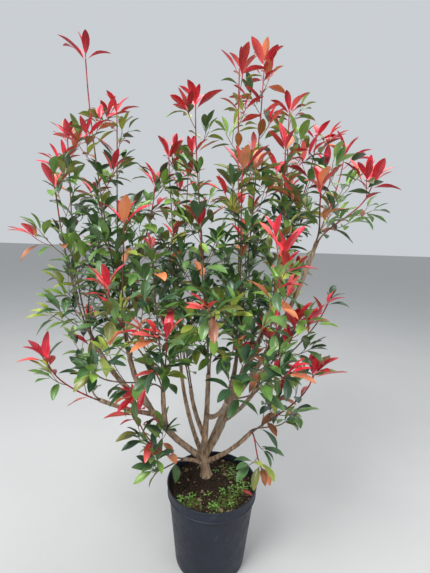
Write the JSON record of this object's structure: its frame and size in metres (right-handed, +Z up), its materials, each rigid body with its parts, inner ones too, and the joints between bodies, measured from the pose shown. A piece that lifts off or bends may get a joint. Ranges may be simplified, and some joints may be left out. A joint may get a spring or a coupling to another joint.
{
  "type": "potted red tip photinia",
  "caption": "Upright many-stemmed evergreen shrub with dark glossy leaves and red shoot tips, growing in a round black plastic nursery pot that stands on its flat underside.",
  "frame": {"origin": "centre of the pot's flat underside", "axes": "+Z up, +X to the right and +Y away from the viewer, as the picture shows the plant"},
  "size_m": [1.0545, 0.6906, 1.5227],
  "materials": {
    "pot_plastic": "satin moulded plastic",
    "soil": "moist crumbly potting compost",
    "bark": "smooth tan-brown bark",
    "foliage": "glossy leaves, dark green with red young tips"
  },
  "bodies": {
    "root": {"foliage_arch_front": "foliage", "foliage_arch_side": "foliage", "foliage_arch_top": "foliage", "foliage_back_left_side": "foliage", "foliage_back_left_top": "foliage", "foliage_back_right_side": "foliage", "foliage_back_right_top": "foliage", "foliage_centre_front": "foliage", "foliage_centre_low": "foliage", "foliage_centre_top": "foliage", "foliage_crown_front": "foliage", "foliage_crown_left": "foliage", "foliage_crown_right": "foliage", "foliage_crown_top": "foliage", "foliage_far_red": "foliage", "foliage_far_upper": "foliage", "foliage_front_left_low": "foliage", "foliage_front_left_top": "foliage", "foliage_front_right_low": "foliage", "foliage_front_right_top": "foliage", "foliage_inner_red": "foliage", "foliage_inner_up": "foliage", "foliage_left_front": "foliage", "foliage_left_inner_top": "foliage", "foliage_left_second": "foliage", "foliage_left_top": "foliage", "foliage_low_left_red": "foliage", "foliage_low_right": "foliage", "foliage_low_right_droop": "foliage", "foliage_low_right_red": "foliage", "foliage_low_rim": "foliage", "foliage_middle_left": "foliage", "foliage_middle_top": "foliage", "foliage_outer_back": "foliage", "foliage_outer_side": "foliage", "foliage_outer_top": "foliage", "foliage_right_far": "foliage", "foliage_right_red": "foliage", "foliage_right_up": "foliage", "foliage_second_back": "foliage", "foliage_second_front": "foliage", "foliage_second_top": "foliage", "pot": "pot_plastic", "potting_soil": "soil", "stem_back_left": "bark", "stem_back_right": "bark", "stem_centre": "bark", "stem_centre_left": "bark", "stem_far_left": "bark", "stem_front_right": "bark", "stem_left_inner": "bark", "stem_left_leader": "bark", "stem_left_outer": "bark", "stem_low_left": "bark", "stem_right_arch": "bark", "stem_right_centre": "bark", "stem_right_low": "bark", "stem_right_mid": "bark", "stem_right_second": "bark", "trunk": "bark"}
  },
  "joints": []
}
